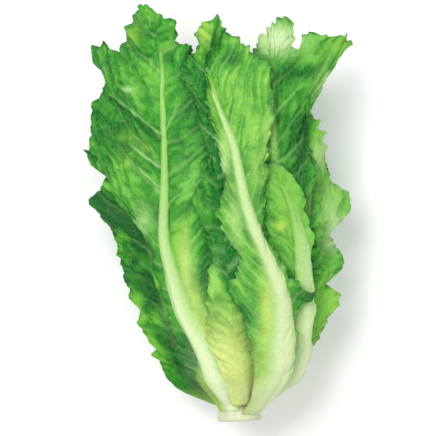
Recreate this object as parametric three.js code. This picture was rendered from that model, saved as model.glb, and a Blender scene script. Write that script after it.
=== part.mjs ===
// A head of romaine lettuce, cut at the stem and lying on its side. Millimetres, +Z up.
// The stem end points to -Y and the leaf tips to +Y. The origin is the middle of the small flat
// spot on the underside that the head rests on.
//
// Every leaf is described on the head itself: a distance along the head, counted from the cut,
// and an azimuth round the head's axis, in degrees from straight up towards +X. The leaves are
// laid on each other from the heart outwards, and each one is pushed out just far enough to clear
// what it covers, as the leaves of a growing head are.

import * as THREE from "three";

// ---------------------------------------------------------------- driving dimensions

const REST_FROM_CUT = 118; // the resting spot, measured along the head from the cut
const AXIS_HEIGHT = 55; // the head's axis above the surface that it lies on
const AXIS_LEAN = -0.046; // sideways drift of the axis, per millimetre along it
const FLATTENING = 0.25; // how much flatter the lying head is from top to bottom than across
const REST_SPOT = 21; // radius of the flat spot that the head rests on

const STEM_RADIUS = 15.5; // at the cut
const STEM_LENGTH = 66; // the cone inside the head that carries the leaves
const STEM_GAP = 0.45; // between the stem and the foot of a leaf
const STEM_SIDES = 24;
const STEM_RINGS = 10;

const BLADE_THICKNESS = 0.8;
const LEAF_GAP = 0.5; // kept between two leaves
const VEIN_LAG = 1.25; // above 1 the rows of a blade slant up from the rib, as its veins do
const HEART_LEAVES = 11;
const GOLDEN_ANGLE = 137.5; // from each leaf to the next
const SAMPLE_STEP = 1.1; // spacing of the points at which a leaf is held off the one below
const LAYING_ROUNDS = 16;

// Distance of a leaf from its foot outwards, against the distance along the head from that foot.
const HEAD_PROFILE = [
  [0, 0], [4, 1.6], [9, 7.5], [16, 17.5], [24, 25.5], [34, 32], [44, 37],
  [65, 46], [93, 54], [121, 60.5], [149, 65.5], [177, 69], [234, 70.5], [290, 74],
];
// Height of the underside above the surface that the head lies on, against the distance along it.
const UNDERSIDE = [[0, 14], [40, 8], [98, 0], [142, 0], [200, 3.5], [290, 15]];
// The midrib's height above the blade and its half width, against the distance from the foot.
const RIB_HEIGHT = [[0, 0.6], [6, 2.4], [20, 5.4], [60, 5.4], [110, 4], [170, 2.6], [230, 1.4], [290, 0.2]];
const RIB_HALF_WIDTH = [[0, 8.5], [20, 10.5], [45, 10], [75, 8.4], [115, 5.4], [170, 3.3], [230, 2], [290, 1.2]];

// ---------------------------------------------------------------- small maths

const DEGREE = Math.PI / 180;
const lerp = (a, b, t) => a + (b - a) * t;
const clamp = (x, low, high) => Math.min(high, Math.max(low, x));

// Straight-line value of a table of [x, value] at x.
function tableAt(table, x) {
  const last = table.length - 1;
  if (x <= table[0][0]) return table[0][1];
  if (x >= table[last][0]) return table[last][1];
  const i = table.findIndex((row) => row[0] > x);
  const [x0, v0] = table[i - 1];
  const [x1, v1] = table[i];
  return lerp(v0, v1, (x - x0) / (x1 - x0));
}

// Smooth curve through hand-placed points [along, azimuth, lift], t from 0 to 1 by length.
function curveAt(points, t) {
  const last = points.length - 1;
  const lengths = [0];
  for (let i = 1; i <= last; i++) {
    const step = Math.hypot(points[i][0] - points[i - 1][0], points[i][1] - points[i - 1][1]);
    lengths.push(lengths[i - 1] + step);
  }
  const at = clamp(t, 0, 1) * lengths[last];
  const i = clamp(lengths.findIndex((length) => length > at) - 1, -1, last - 1);
  const k = i < 0 ? last - 1 : i;
  const f = (at - lengths[k]) / (lengths[k + 1] - lengths[k]);
  const near = [k - 1, k, k + 1, k + 2].map((n) => points[clamp(n, 0, last)]);
  return [0, 1, 2].map((n) => {
    const [a, b, c, d] = near.map((point) => point[n] ?? 0);
    return b + 0.5 * f * (c - a + f * (2 * a - 5 * b + 4 * c - d + f * (3 * (b - c) + d - a)));
  });
}

// ---------------------------------------------------------------- the head's own frame

const axisX = (along) => AXIS_LEAN * (along - REST_FROM_CUT);

// A place on the head as a point of the part.
function onHead(along, azimuth, radius) {
  const a = azimuth * DEGREE;
  const x = axisX(along) + radius * Math.sin(a);
  const z = AXIS_HEIGHT + radius * Math.cos(a);
  return [x, along - REST_FROM_CUT, z];
}

// A point of the part as a place on the head.
function fromPoint(x, y, z) {
  const along = y + REST_FROM_CUT;
  const dx = x - axisX(along);
  const dz = z - AXIS_HEIGHT;
  return [along, Math.atan2(dx, dz) / DEGREE, Math.hypot(dx, dz)];
}

// The radius at which a place on the head is at a height above the surface below.
function radiusAtHeight(azimuth, height) {
  const down = -Math.cos(azimuth * DEGREE);
  return down > 0.05 ? (AXIS_HEIGHT - height) / down : Infinity;
}

function stemRadius(along) {
  const t = clamp(along / STEM_LENGTH, 0, 1);
  return STEM_RADIUS * Math.sqrt(1 - t ** 1.6) * (1 - 0.25 * t);
}

// ---------------------------------------------------------------- the leaves, as tables

// Each leaf has its rib [along, azimuth] and its two margins [along, azimuth, lift] from the foot
// to the tip. Left is the smaller azimuth. The lift stands a margin off the head. level is the
// share of the head's profile that the leaf follows. The list runs from the inside outwards.
const OUTER_LEAVES = [
  {
    name: "leaf_back_inner",
    level: 0.76, ribSize: 0.8, ripple: 1.2, waves: 5, rows: 14, steps: 2, colour: 0x6fae3f,
    rib: [[18, 182], [60, 180], [120, 178], [200, 176], [236, 175]],
    left: [[18, 150], [40, 136], [80, 128], [120, 124], [160, 122], [200, 126], [225, 138],
      [242, 158], [249, 175]],
    right: [[18, 214], [40, 226], [80, 232], [120, 236], [160, 238], [200, 232], [225, 220],
      [242, 198], [249, 175]],
  },
  {
    name: "leaf_back_left",
    level: 0.84, ribSize: 0.9, ripple: 1.6, waves: 6, rows: 18, steps: 2, colour: 0x4f9a33,
    rib: [[13, -135], [60, -136], [120, -137], [200, -136], [246, -134]],
    left: [[13, -168], [25, -180], [50, -186], [80, -190], [120, -192], [160, -192], [200, -190],
      [225, -186], [243, -172], [253, -156], [259, -134]],
    right: [[13, -103], [22, -92], [45, -80], [80, -74], [120, -70], [150, -68], [180, -72],
      [205, -70], [225, -80], [243, -92], [253, -112], [259, -134]],
  },
  {
    name: "leaf_right",
    level: 0.84, ribSize: 0.8, ripple: 1.8, waves: 6, rows: 20, steps: 3, colour: 0x3f8f2f,
    rib: [[14, 62], [30, 60], [60, 58], [100, 57], [140, 56], [170, 56], [200, 55]],
    left: [[14, 36], [40, 36], [80, 34], [120, 36], [160, 40], [190, 42], [206, 46], [216, 53]],
    right: [[14, 88], [22, 84, 3], [30, 82, 6], [43, 82, 8], [57, 82, 12], [75, 80, 15], [92, 80, 15],
      [101, 80, 9], [110, 80, 19], [118, 80, 14], [130, 80, 6], [144, 80, 14], [154, 80, 15],
      [162, 80, 10], [169, 80, 4], [180, 77], [190, 74], [198, 67], [210, 62], [216, 53]],
  },
  {
    name: "leaf_back_right",
    bearsHead: true,
    level: 0.92, ribSize: 1, ripple: 1.6, waves: 6, rows: 18, steps: 3, colour: 0x4c982f,
    rib: [[11, 140], [30, 138], [60, 140], [100, 142], [150, 144], [200, 144], [247, 143]],
    left: [[11, 106], [22, 98], [40, 92], [70, 90], [100, 88], [130, 88], [155, 88, -5],
      [175, 90, -14], [200, 88, -24], [225, 94, -26], [243, 106, -21], [254, 122, -11], [261, 143]],
    right: [[11, 174], [25, 185], [50, 192], [80, 196], [110, 198], [140, 200], [170, 200], [200, 198],
      [225, 198], [243, 186], [256, 168], [261, 143]],
  },
  {
    name: "leaf_top_right",
    level: 0.87, ribSize: 0.8, ripple: 1, waves: 6, rows: 26, steps: 3, colour: 0x5aa636,
    rib: [[18, 36], [50, 32], [85, 32], [120, 32], [155, 32], [183, 31], [218, 30], [240, 32],
      [256, 35]],
    left: [[18, 6], [50, 5], [85, 11], [120, 14], [155, 16], [190, 18], [225, 18], [245, 17],
      [256, 19], [264, 23], [269, 30], [277, 33], [282, 40]],
    right: [[18, 66], [50, 65], [85, 65], [120, 59], [155, 54], [180, 53], [206, 51], [218, 50],
      [227, 54], [239, 63], [251, 71, 4], [260, 76, 10], [268, 79, 15], [271, 70, 5], [270, 61],
      [275, 57], [271, 53], [263, 49], [264, 45], [272, 46], [280, 45], [282, 40]],
  },
  {
    name: "leaf_far_left",
    level: 0.86, ribSize: 0.8, ripple: 1.6, waves: 6, rows: 22, steps: 3, colour: 0x3d8c2c,
    rib: [[12, -58], [30, -60], [60, -60], [100, -60], [140, -60], [184, -61]],
    left: [[12, -88, 3], [21, -84, 18], [33, -82, 17], [50, -82, 13], [68, -82, 12], [89, -81, 13],
      [100, -81, 12], [111, -80, 16], [122, -80, 14], [134, -80, 16], [144, -80, 22], [153, -80, 25],
      [162, -79, 18], [170, -75, 9], [176, -80, 16], [188, -82, 27], [189, -75, 12], [193, -68, 4],
      [197, -61]],
    right: [[12, -30], [40, -34], [80, -36], [120, -36], [160, -42], [185, -50], [197, -61]],
  },
  {
    name: "leaf_left",
    level: 0.92, ribSize: 0.74, ripple: 1, waves: 8, rows: 28, steps: 3, colour: 0x62ab3a,
    rib: [[8, -29], [26, -35], [50, -37], [75, -43], [103, -45], [127, -46], [155, -42], [183, -39],
      [211, -38], [229, -38], [246, -37], [272, -38]],
    left: [[8, -60], [29, -52], [54, -58], [85, -57], [118, -53], [134, -56], [146, -65], [158, -72],
      [170, -75, 3], [183, -76, 9], [196, -76, 14], [208, -76, 16], [222, -76, 11], [236, -76, 4],
      [248, -78, 8], [257, -85, 11], [264, -83, 8], [263, -72, 3], [256, -64], [266, -61], [278, -56],
      [287, -49], [290, -42]],
    right: [[8, 0], [40, 8], [64, 9], [92, 5], [120, 0], [148, -3], [176, -6], [204, -10],
      [222, -16], [236, -21], [247, -22], [257, -19], [263, -20], [263, -28], [271, -28],
      [281, -29], [288, -35], [290, -42]],
  },
  {
    name: "leaf_right_front",
    level: 0.94, ribSize: 0.66, ripple: 1.2, waves: 7, rows: 22, steps: 3, colour: 0x4f9f34,
    rib: [[10, 56, 1], [16, 57, 5], [24, 60, 8], [36, 60, 6], [50, 57, 3], [68, 52], [85, 50],
      [103, 48], [120, 46], [138, 43], [155, 39], [168, 34]],
    left: [[10, 28], [36, 28], [64, 24], [85, 20], [106, 17], [127, 16], [145, 15], [162, 16],
      [174, 19], [180, 24], [181, 30]],
    right: [[10, 84, 2], [16, 84, 8], [24, 82, 10], [36, 77, 8], [50, 71, 4], [64, 65, 1], [85, 62],
      [103, 60], [120, 57], [138, 54], [155, 49], [168, 43], [177, 37], [181, 30]],
  },
  {
    name: "leaf_centre",
    level: 0.96, ribSize: 0.7, ripple: 1, waves: 7, rows: 24, steps: 3, colour: 0x6db440,
    rib: [[12, 14], [50, 2], [85, -2], [120, -4], [155, -6], [190, -7], [225, -8], [253, -5],
      [270, -3]],
    left: [[12, -12], [32, -14], [57, -20], [92, -18], [120, -14], [134, -16], [148, -22],
      [162, -20], [176, -14], [186, -11], [198, -13], [211, -17], [222, -15], [233, -20], [243, -24],
      [255, -20], [263, -15], [275, -10], [283, -2]],
    right: [[12, 40], [25, 42], [57, 34], [92, 26], [127, 22], [162, 16], [197, 12], [225, 8],
      [248, 6], [268, 4], [283, -2]],
  },
  {
    name: "leaf_front",
    level: 1, ribSize: 1, ripple: 1.2, waves: 9, rows: 28, steps: 3, colour: 0x74ba45,
    rib: [[6, 32], [19, 30], [33, 31], [50, 30], [68, 30], [85, 28], [103, 23], [120, 18], [155, 9],
      [190, 4], [225, -2], [246, -4]],
    left: [[6, 8], [14, 15], [24, 14], [40, 12], [64, 7], [82, 4], [92, -3], [106, 4], [119, 6],
      [127, -3], [138, -7], [150, -9], [163, -3], [183, -6], [204, -7], [228, -10], [246, -9],
      [259, -5], [272, 1]],
    right: [[6, 52], [14, 48], [24, 46], [36, 50], [48, 51], [68, 47], [81, 44], [88, 52], [93, 56],
      [98, 44], [107, 35], [119, 29], [131, 22], [145, 20], [162, 22], [178, 22], [200, 25],
      [220, 27], [239, 26], [254, 22], [266, 13], [272, 1]],
  },
];

// Half width of a heart leaf as a share of its greatest, against the share of its length.
const HEART_OUTLINE = [[0, 0.66], [0.12, 0.68], [0.32, 0.76], [0.52, 0.9], [0.7, 1], [0.84, 0.92],
  [0.93, 0.68], [0.98, 0.36], [1, 0]];

// A leaf of the heart; depth 0 is the outermost and 1 the smallest.
function heartLeaf(number) {
  const depth = number / (HEART_LEAVES - 1);
  const foot = lerp(24, 54, depth);
  const tip = lerp(258, 190, depth ** 1.15);
  const middle = ((number * GOLDEN_ANGLE + 20) % 360) - 180;
  const spread = lerp(54, 74, depth);
  const margin = (side) =>
    HEART_OUTLINE.map(([share, width], i) => {
      const notch = i > 2 && i < HEART_OUTLINE.length - 1 ? 0.07 * Math.sin(2.4 * i + number + side) : 0;
      return [lerp(foot, tip, share), middle + side * spread * (width + notch)];
    });
  return {
    name: `leaf_heart_${number + 1}`,
    level: lerp(0.7, 0.08, depth ** 0.85),
    ribSize: lerp(0.62, 0.34, depth),
    ripple: 1,
    waves: 4,
    rows: 12,
    steps: 1,
    colour: new THREE.Color(0x86bf4b).lerp(new THREE.Color(0xd6dc86), depth),
    rib: [[foot, middle], [lerp(foot, tip, 0.5), middle], [lerp(foot, tip, 0.93), middle]],
    left: margin(-1),
    right: margin(1),
  };
}

// ---------------------------------------------------------------- a leaf's blade

// Radius that a leaf has on the head when nothing lies beneath it.
function restRadius(leaf, along, azimuth, lift) {
  const foot = leaf.rib[0][0];
  const across = Math.sin(azimuth * DEGREE) ** 2;
  const spread = leaf.level * tableAt(HEAD_PROFILE, along - foot);
  const free = stemRadius(foot) + STEM_GAP + spread * (1 - FLATTENING + FLATTENING * across);
  const inside = 52 * Math.max(0, 0.92 - leaf.level);
  return Math.min(free + lift, radiusAtHeight(azimuth, tableAt(UNDERSIDE, along) + inside));
}

// The blade as rows of places from the foot to the tip, each row from the left margin to the
// right one. The last row is folded at the end of the rib, so its two halves are one seam.
function bladeOf(leaf) {
  const half = leaf.steps + 2;
  const width = 2 * half + 1;
  const foot = leaf.rib[0][0];
  const places = [];
  for (let i = 0; i <= leaf.rows; i++) {
    const t = i / leaf.rows;
    const rib = curveAt(leaf.rib, t ** VEIN_LAG);
    const headRadius = STEM_RADIUS + leaf.level * tableAt(HEAD_PROFILE, rib[0] - foot);
    const ribWidth = leaf.ribSize * tableAt(RIB_HALF_WIDTH, rib[0] - foot);
    const first = i < leaf.rows ? -half : 0;
    for (let j = first; j <= half; j++) {
      const margin = curveAt(j < 0 ? leaf.left : leaf.right, t);
      const reach = Math.abs(margin[1] - rib[1]) * DEGREE * headRadius;
      const share = i < leaf.rows ? clamp(ribWidth / reach, 0.08, 0.7) : 2 / half;
      const k = Math.abs(j);
      const u = k < 2 ? share * [0, 0.58][k] : lerp(share, 1, (k - 2) / leaf.steps);
      const along = lerp(rib[0], margin[0], u);
      const azimuth = lerp(rib[1], margin[1], u);
      const wave = leaf.ripple * Math.sin(2 * Math.PI * leaf.waves * t + 1.7 * Math.sign(j));
      const lift = lerp(rib[2], margin[2], u ** 1.6) + wave * u ** 2.2 * Math.sqrt(t);
      const radius = restRadius(leaf, along, azimuth, lift);
      places.push({ along, azimuth, radius, rise: 0 });
    }
  }
  const at = (i, j) => i * width + (i < leaf.rows ? j + half : Math.abs(j));
  const triangles = [];
  for (let i = 0; i < leaf.rows; i++) {
    for (let j = -half; j < half; j++) {
      const [a, b, c, d] = [at(i, j), at(i, j + 1), at(i + 1, j + 1), at(i + 1, j)];
      if (j < 0) triangles.push([a, b, d], [b, c, d]);
      else triangles.push([a, b, c], [a, c, d]);
    }
  }
  const edge = [];
  for (let j = -half; j <= half; j++) edge.push(at(0, j));
  for (let i = 1; i <= leaf.rows; i++) edge.push(at(i, half));
  for (let i = leaf.rows - 1; i > 0; i--) edge.push(at(i, -half));
  return { places, triangles, edge, at, half };
}

// Thickness of the leaf at every place, measured outwards from the axis: the blade, made up for
// its slope, and the round back of the rib.
function thicken(leaf, blade) {
  const { places, at, half } = blade;
  const foot = leaf.rib[0][0];
  for (let i = 0; i <= leaf.rows; i++) {
    for (let j = -half; j <= half; j++) {
      const place = places[at(i, j)];
      const before = places[at(Math.max(i - 1, 0), j)];
      const after = places[at(Math.min(i + 1, leaf.rows), j)];
      const left = places[at(i, Math.max(j - 1, -half))];
      const right = places[at(i, Math.min(j + 1, half))];
      const climb = (after.radius - before.radius) / Math.max(after.along - before.along, 4);
      const turn = Math.abs(right.azimuth - left.azimuth) * DEGREE * place.radius;
      const bank = (right.radius - left.radius) / Math.max(turn, 4);
      const slope = Math.min(Math.hypot(1, climb, bank), 2);
      const ribAzimuth = tableAt(leaf.rib, place.along);
      const offset = Math.abs(place.azimuth - ribAzimuth) * DEGREE * place.radius;
      const ribWidth = leaf.ribSize * tableAt(RIB_HALF_WIDTH, place.along - foot);
      const round = Math.sqrt(Math.max(0, 1 - (offset / ribWidth) ** 2));
      const rib = leaf.ribSize * tableAt(RIB_HEIGHT, place.along - foot) * round;
      place.thickness = BLADE_THICKNESS * slope + rib;
    }
  }
}

// Visits points spread over flat triangles, with each corner's share in the point.
function samplePoints(corners, triangles, visit) {
  for (const triangle of triangles) {
    const [a, b, c] = triangle.map((n) => corners[n]);
    const sides = [[a, b], [b, c], [c, a]];
    const longest = Math.max(...sides.map(([p, q]) => Math.hypot(p[0] - q[0], p[1] - q[1], p[2] - q[2])));
    const steps = Math.ceil(longest / SAMPLE_STEP);
    for (let p = 0; p <= steps; p++) {
      for (let q = 0; q <= steps - p; q++) {
        const shares = [1 - (p + q) / steps, p / steps, q / steps];
        const point = [0, 1, 2].map((n) => shares[0] * a[n] + shares[1] * b[n] + shares[2] * c[n]);
        visit(fromPoint(...point), shares, triangle);
      }
    }
  }
}

// ---------------------------------------------------------------- laying a leaf on the head

// Outside radius of everything laid so far, on cells of 1 mm along the head by 1 degree round it.
const CELLS_BEFORE_CUT = 10;
const CELLS_ALONG = 320;
const cover = new Float32Array(CELLS_ALONG * 360);
for (let row = 0; row < CELLS_ALONG; row++) {
  cover.fill(stemRadius(row - CELLS_BEFORE_CUT), row * 360, (row + 1) * 360);
}

function coverCell(along, azimuth) {
  const row = clamp(Math.floor(along) + CELLS_BEFORE_CUT, 0, CELLS_ALONG - 1);
  const column = ((Math.floor(azimuth) % 360) + 360) % 360;
  return row * 360 + column;
}

// Greatest covered radius in the four cells nearest to a place.
function coveredRadius(along, azimuth) {
  let radius = 0;
  for (const a of [along - 0.5, along + 0.5]) {
    for (const b of [azimuth - 0.5, azimuth + 0.5]) radius = Math.max(radius, cover[coverCell(a, b)]);
  }
  return radius;
}

const innerPoint = (place) => onHead(place.along, place.azimuth, place.radius);
const outerPoint = (place) => onHead(place.along, place.azimuth, place.radius + place.thickness);

// Evens out how far neighbouring places have been pushed outwards.
function smoothRise(leaf, blade) {
  const { places, at, half } = blade;
  const smooth = places.map((place) => place.rise);
  for (let i = 1; i < leaf.rows; i++) {
    for (let j = -half; j <= half; j++) {
      const around = [at(i - 1, j), at(i + 1, j), at(i, Math.max(j - 1, -half)), at(i, Math.min(j + 1, half))];
      const mean = around.reduce((sum, n) => sum + places[n].rise, 0) / 4;
      smooth[at(i, j)] = lerp(places[at(i, j)].rise, mean, 0.6);
    }
  }
  setRise(places, smooth);
}

// Moves every place to its new rise, but never into the surface that the head lies on.
function setRise(places, rises) {
  places.forEach((place, n) => {
    const highest = radiusAtHeight(place.azimuth, 0) - place.thickness;
    const radius = Math.min(place.radius - place.rise + rises[n], highest);
    place.rise += radius - place.radius;
    place.radius = radius;
  });
}

// Presses the places round the origin flat onto the surface that the head lies on.
function flattenSpot(places) {
  for (const place of places) {
    const [x, y] = onHead(place.along, place.azimuth, place.radius);
    if (Math.hypot(x, y) > REST_SPOT || Math.cos(place.azimuth * DEGREE) > 0) continue;
    place.radius = radiusAtHeight(place.azimuth, 0) - place.thickness;
  }
}

function layOnCover(leaf, blade) {
  const { places, triangles } = blade;
  for (let round = 0; round < LAYING_ROUNDS; round++) {
    thicken(leaf, blade);
    if (round < LAYING_ROUNDS - 6) smoothRise(leaf, blade);
    const push = places.map(() => 0);
    samplePoints(places.map(innerPoint), triangles, ([along, azimuth, radius], shares, triangle) => {
      const short = coveredRadius(along, azimuth) + LEAF_GAP - radius;
      if (short <= 0) return;
      const weight = shares.reduce((sum, share) => sum + share * share, 0);
      triangle.forEach((n, corner) => {
        push[n] = Math.max(push[n], (short * shares[corner]) / weight);
      });
    });
    setRise(places, places.map((place, n) => place.rise + push[n]));
  }
  thicken(leaf, blade);
  setRise(places, places.map((place) => place.rise));
  if (leaf.bearsHead) flattenSpot(places);
  samplePoints(places.map(outerPoint), triangles, ([along, azimuth, radius]) => {
    const cell = coverCell(along, azimuth);
    cover[cell] = Math.max(cover[cell], radius);
  });
}

// ---------------------------------------------------------------- solids

function meshOf(name, points, triangles, colour, roughness) {
  const geometry = new THREE.BufferGeometry();
  geometry.setAttribute("position", new THREE.Float32BufferAttribute(points.flat(), 3));
  geometry.setIndex(triangles.flat());
  geometry.computeVertexNormals();
  const material = new THREE.MeshStandardMaterial({ color: colour, roughness, metalness: 0 });
  const mesh = new THREE.Mesh(geometry, material);
  mesh.name = name;
  return mesh;
}

// The inner face, the outer face and the strip that closes them all round.
function leafMesh(leaf) {
  const blade = bladeOf(leaf);
  layOnCover(leaf, blade);
  const { places, triangles, edge } = blade;
  const count = places.length;
  const points = [...places.map(innerPoint), ...places.map(outerPoint)];
  const inner = triangles.map(([a, b, c]) => [c, b, a]);
  const outer = triangles.map((triangle) => triangle.map((n) => n + count));
  const strip = edge.flatMap((p, i) => {
    const q = edge[(i + 1) % edge.length];
    return [[q + count, p + count, p], [q + count, p, q]];
  });
  return meshOf(leaf.name, points, [...inner, ...outer, ...strip], leaf.colour, 0.5);
}

// The cut stem and the cone inside the head that it runs into.
function stemMesh() {
  const outline = [new THREE.Vector2(0, 0), new THREE.Vector2(STEM_RADIUS - 1, 0)];
  for (let i = 0; i < STEM_RINGS; i++) {
    const along = lerp(1.2, STEM_LENGTH, (i / STEM_RINGS) ** 1.2);
    outline.push(new THREE.Vector2(stemRadius(along), along));
  }
  outline.push(new THREE.Vector2(0, STEM_LENGTH - 1));
  const turned = new THREE.LatheGeometry(outline, STEM_SIDES);
  const material = new THREE.MeshStandardMaterial({ color: 0xeeebc8, roughness: 0.6, metalness: 0 });
  const mesh = new THREE.Mesh(turned, material);
  mesh.name = "stem";
  mesh.rotation.set(0, 0, Math.atan(-AXIS_LEAN));
  mesh.position.set(axisX(0), -REST_FROM_CUT, AXIS_HEIGHT);
  return mesh;
}

// ---------------------------------------------------------------- the whole head

const head = new THREE.Group();
head.add(stemMesh());
for (let number = HEART_LEAVES - 1; number >= 0; number--) head.add(leafMesh(heartLeaf(number)));
for (const leaf of OUTER_LEAVES) head.add(leafMesh(leaf));

export default head;
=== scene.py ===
"""A head of romaine lettuce, cut at the stem and lying on its side.

The stem end points to -Y and the leaf tips to +Y. A place on the head is given as a distance
along it, counted from the cut, and an azimuth round its axis, in degrees from straight up towards
+X. The sizes of the head are in millimetres until a mesh is made, and its setting is in metres.
"""

import bmesh
import bpy
import numpy as np
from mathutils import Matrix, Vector


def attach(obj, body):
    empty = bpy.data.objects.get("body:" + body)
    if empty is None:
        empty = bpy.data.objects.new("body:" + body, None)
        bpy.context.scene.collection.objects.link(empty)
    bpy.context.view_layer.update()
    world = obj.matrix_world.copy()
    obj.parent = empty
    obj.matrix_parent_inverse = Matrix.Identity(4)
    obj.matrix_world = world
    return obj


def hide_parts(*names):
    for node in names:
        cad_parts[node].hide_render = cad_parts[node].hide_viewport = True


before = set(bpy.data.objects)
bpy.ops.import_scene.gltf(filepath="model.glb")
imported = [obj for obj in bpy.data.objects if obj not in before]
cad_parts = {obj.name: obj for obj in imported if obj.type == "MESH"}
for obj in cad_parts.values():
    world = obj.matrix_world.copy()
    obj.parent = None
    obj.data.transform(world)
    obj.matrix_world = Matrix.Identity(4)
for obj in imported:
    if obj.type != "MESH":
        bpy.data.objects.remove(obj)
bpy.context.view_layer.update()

# ---------------------------------------------------------------------------------------------
# Cut stem. The pale core that every leaf grows from, sliced across with a knife. Its face is
# moist cream flesh with a faint ring of sap vessels, slightly browned at the rim.

REST_FROM_CUT = 118.0
AXIS_HEIGHT = 55.0
AXIS_LEAN = -0.046
MM = 0.001
STEM_RADIUS = 15.5
STEM_LENGTH = 66.0
CUT_FACE_RADIUS = 14.6
CUT_RIM = [(15.1, 0.15), (15.4, 0.5)]  # radius and distance along of the rounded rim's two rings
DISH_DEPTH = 0.5
SIDE_START = 1.0
VESSEL_RING = 9.5
VESSEL_DEPTH = 0.12
BROWNED_RIM = 14.9
FOOT_RIBS = 13
FOOT_RIB_SHARE = 0.012
STEM_COLUMNS = 96


def stem_radius(along):
    """Radius of the core: full at the cut, rounding off to a point inside the head.

    It goes with the root of 1 less t to the power 1.6, and with 1 less a quarter of t, t being the
    share of the length.
    """
    t = np.clip(along / STEM_LENGTH, 0, 1)
    return STEM_RADIUS * np.sqrt(1 - t**1.6) * (1 - 0.25 * t)


def mesh_piece(name, points, faces, marks):
    """A smooth closed mesh at the origin, with one float attribute for each named mark.

    Points that lie in one place are made one, which closes the seams and the poles.
    """
    mesh = bpy.data.meshes.new(name)
    mesh.vertices.add(len(points))
    mesh.vertices.foreach_set("co", points.astype(np.float32).ravel())
    mesh.loops.add(faces.size)
    mesh.loops.foreach_set("vertex_index", faces.astype(np.int32).ravel())
    mesh.polygons.add(len(faces))
    mesh.polygons.foreach_set("loop_start", np.arange(0, faces.size, 4, dtype=np.int32))
    mesh.polygons.foreach_set("use_smooth", np.ones(len(faces), bool))
    mesh.update(calc_edges=True)
    for mark, values in marks.items():
        attribute = mesh.attributes.new(mark, "FLOAT", "POINT")
        attribute.data.foreach_set("value", values.astype(np.float32).ravel())
    shell = bmesh.new()
    shell.from_mesh(mesh)
    bmesh.ops.remove_doubles(shell, verts=shell.verts, dist=1e-7)
    shell.to_mesh(mesh)
    shell.free()
    piece = bpy.data.objects.new(name, mesh)
    bpy.context.collection.objects.link(piece)
    return piece


def stem_points():
    """The core turned about its own axis: a dished cut face, a rounded rim and a tapering side.

    The dish is a parabola, with the ring of vessels sunk in it as a soft bell. The side carries
    the faint ribs of the leaf feet, 13 waves of a cosine. The marks are the browning: half on the
    ring and more on the rim. The whole is tilted to lie along the head's leaning axis.
    """
    face = np.linspace(0, CUT_FACE_RADIUS, 16)
    side = SIDE_START + (STEM_LENGTH - SIDE_START) * np.linspace(0, 1, 40) ** 1.3
    rim_radius, rim_along = np.transpose(CUT_RIM)
    radius = np.concatenate([face, rim_radius, stem_radius(side)])
    dish = DISH_DEPTH - DISH_DEPTH * (face / CUT_FACE_RADIUS) ** 2
    along = np.concatenate([dish, rim_along, side])
    turn = np.linspace(0, 2 * np.pi, STEM_COLUMNS, endpoint=False)
    r, turn = np.meshgrid(radius, turn, indexing="ij")
    y = np.broadcast_to(along[:, None], r.shape)
    on_face = y < 0.5 * (DISH_DEPTH + SIDE_START)
    y = y + on_face * (VESSEL_DEPTH * np.exp(-(((r - VESSEL_RING) / 0.6) ** 2)))
    marks = 0.5 * np.exp(-(((r - VESSEL_RING) / 0.7) ** 2)) * on_face
    marks = marks + 0.7 * np.exp(-(((r - BROWNED_RIM) / 0.5) ** 2)) * (y < 1.5)
    r = r * (1 + FOOT_RIB_SHARE * np.cos(FOOT_RIBS * turn) * ~on_face)
    tilt = np.arctan(-AXIS_LEAN)
    across, up = r * np.sin(turn), r * np.cos(turn)
    x = across * np.cos(tilt) - y * np.sin(tilt) - AXIS_LEAN * REST_FROM_CUT
    y = across * np.sin(tilt) + y * np.cos(tilt) - REST_FROM_CUT
    return np.stack([x, y, AXIS_HEIGHT + up], axis=-1) * MM, marks


def set_inputs(node, **values):
    """Sets a node's inputs by name, with _ for a blank."""
    for name, value in values.items():
        node.inputs[name.replace("_", " ")].default_value = value
    return node


def feed(tree, socket, source):
    """Links another node's output to a socket, or sets the socket to a plain value."""
    if isinstance(source, bpy.types.NodeSocket):
        tree.links.new(source, socket)
    else:
        socket.default_value = source


def laid_over(tree, share, below, above):
    """Colour of one coat over another by a share; a coat is a colour or another node's output."""
    mix = tree.nodes.new("ShaderNodeMix")
    mix.data_type = "RGBA"
    for name, source in (("Factor", share), ("A", below), ("B", above)):
        feed(tree, next(s for s in mix.inputs if s.name == name and s.enabled), source)
    return next(s for s in mix.outputs if s.enabled)


def mark_of(tree, name):
    """Output of a node that reads one of the mesh's marks."""
    node = tree.nodes.new("ShaderNodeAttribute")
    node.attribute_name = name
    return node.outputs["Fac"]


def noise_of(tree, vector, scale, detail):
    """Output of a noise: scale is the number of its cells in a metre."""
    node = set_inputs(tree.nodes.new("ShaderNodeTexNoise"), Scale=scale, Detail=detail)
    tree.links.new(vector, node.inputs["Vector"])
    return node.outputs["Fac"]


def new_tissue(name):
    """A material, its node tree, and the place on the object that its patterns read."""
    material = bpy.data.materials.new(name)
    material.use_nodes = True
    tree = material.node_tree
    return material, tree, tree.nodes.new("ShaderNodeTexCoord").outputs["Object"]


def finish_tissue(tree, colour, relief, bump_strength, bump_depth, unevenness, roughness):
    """Feeds the shader: the colour, a bump from the relief, and roughness between two values."""
    shader = tree.nodes["Principled BSDF"]
    bump = set_inputs(tree.nodes.new("ShaderNodeBump"), Strength=bump_strength, Distance=bump_depth)
    rough = set_inputs(tree.nodes.new("ShaderNodeMapRange"), To_Min=roughness[0], To_Max=roughness[1])
    tree.links.new(relief, bump.inputs["Height"])
    tree.links.new(unevenness, rough.inputs["Value"])
    tree.links.new(colour, shader.inputs["Base Color"])
    tree.links.new(bump.outputs["Normal"], shader.inputs["Normal"])
    tree.links.new(rough.outputs["Result"], shader.inputs["Roughness"])
    return shader


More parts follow.
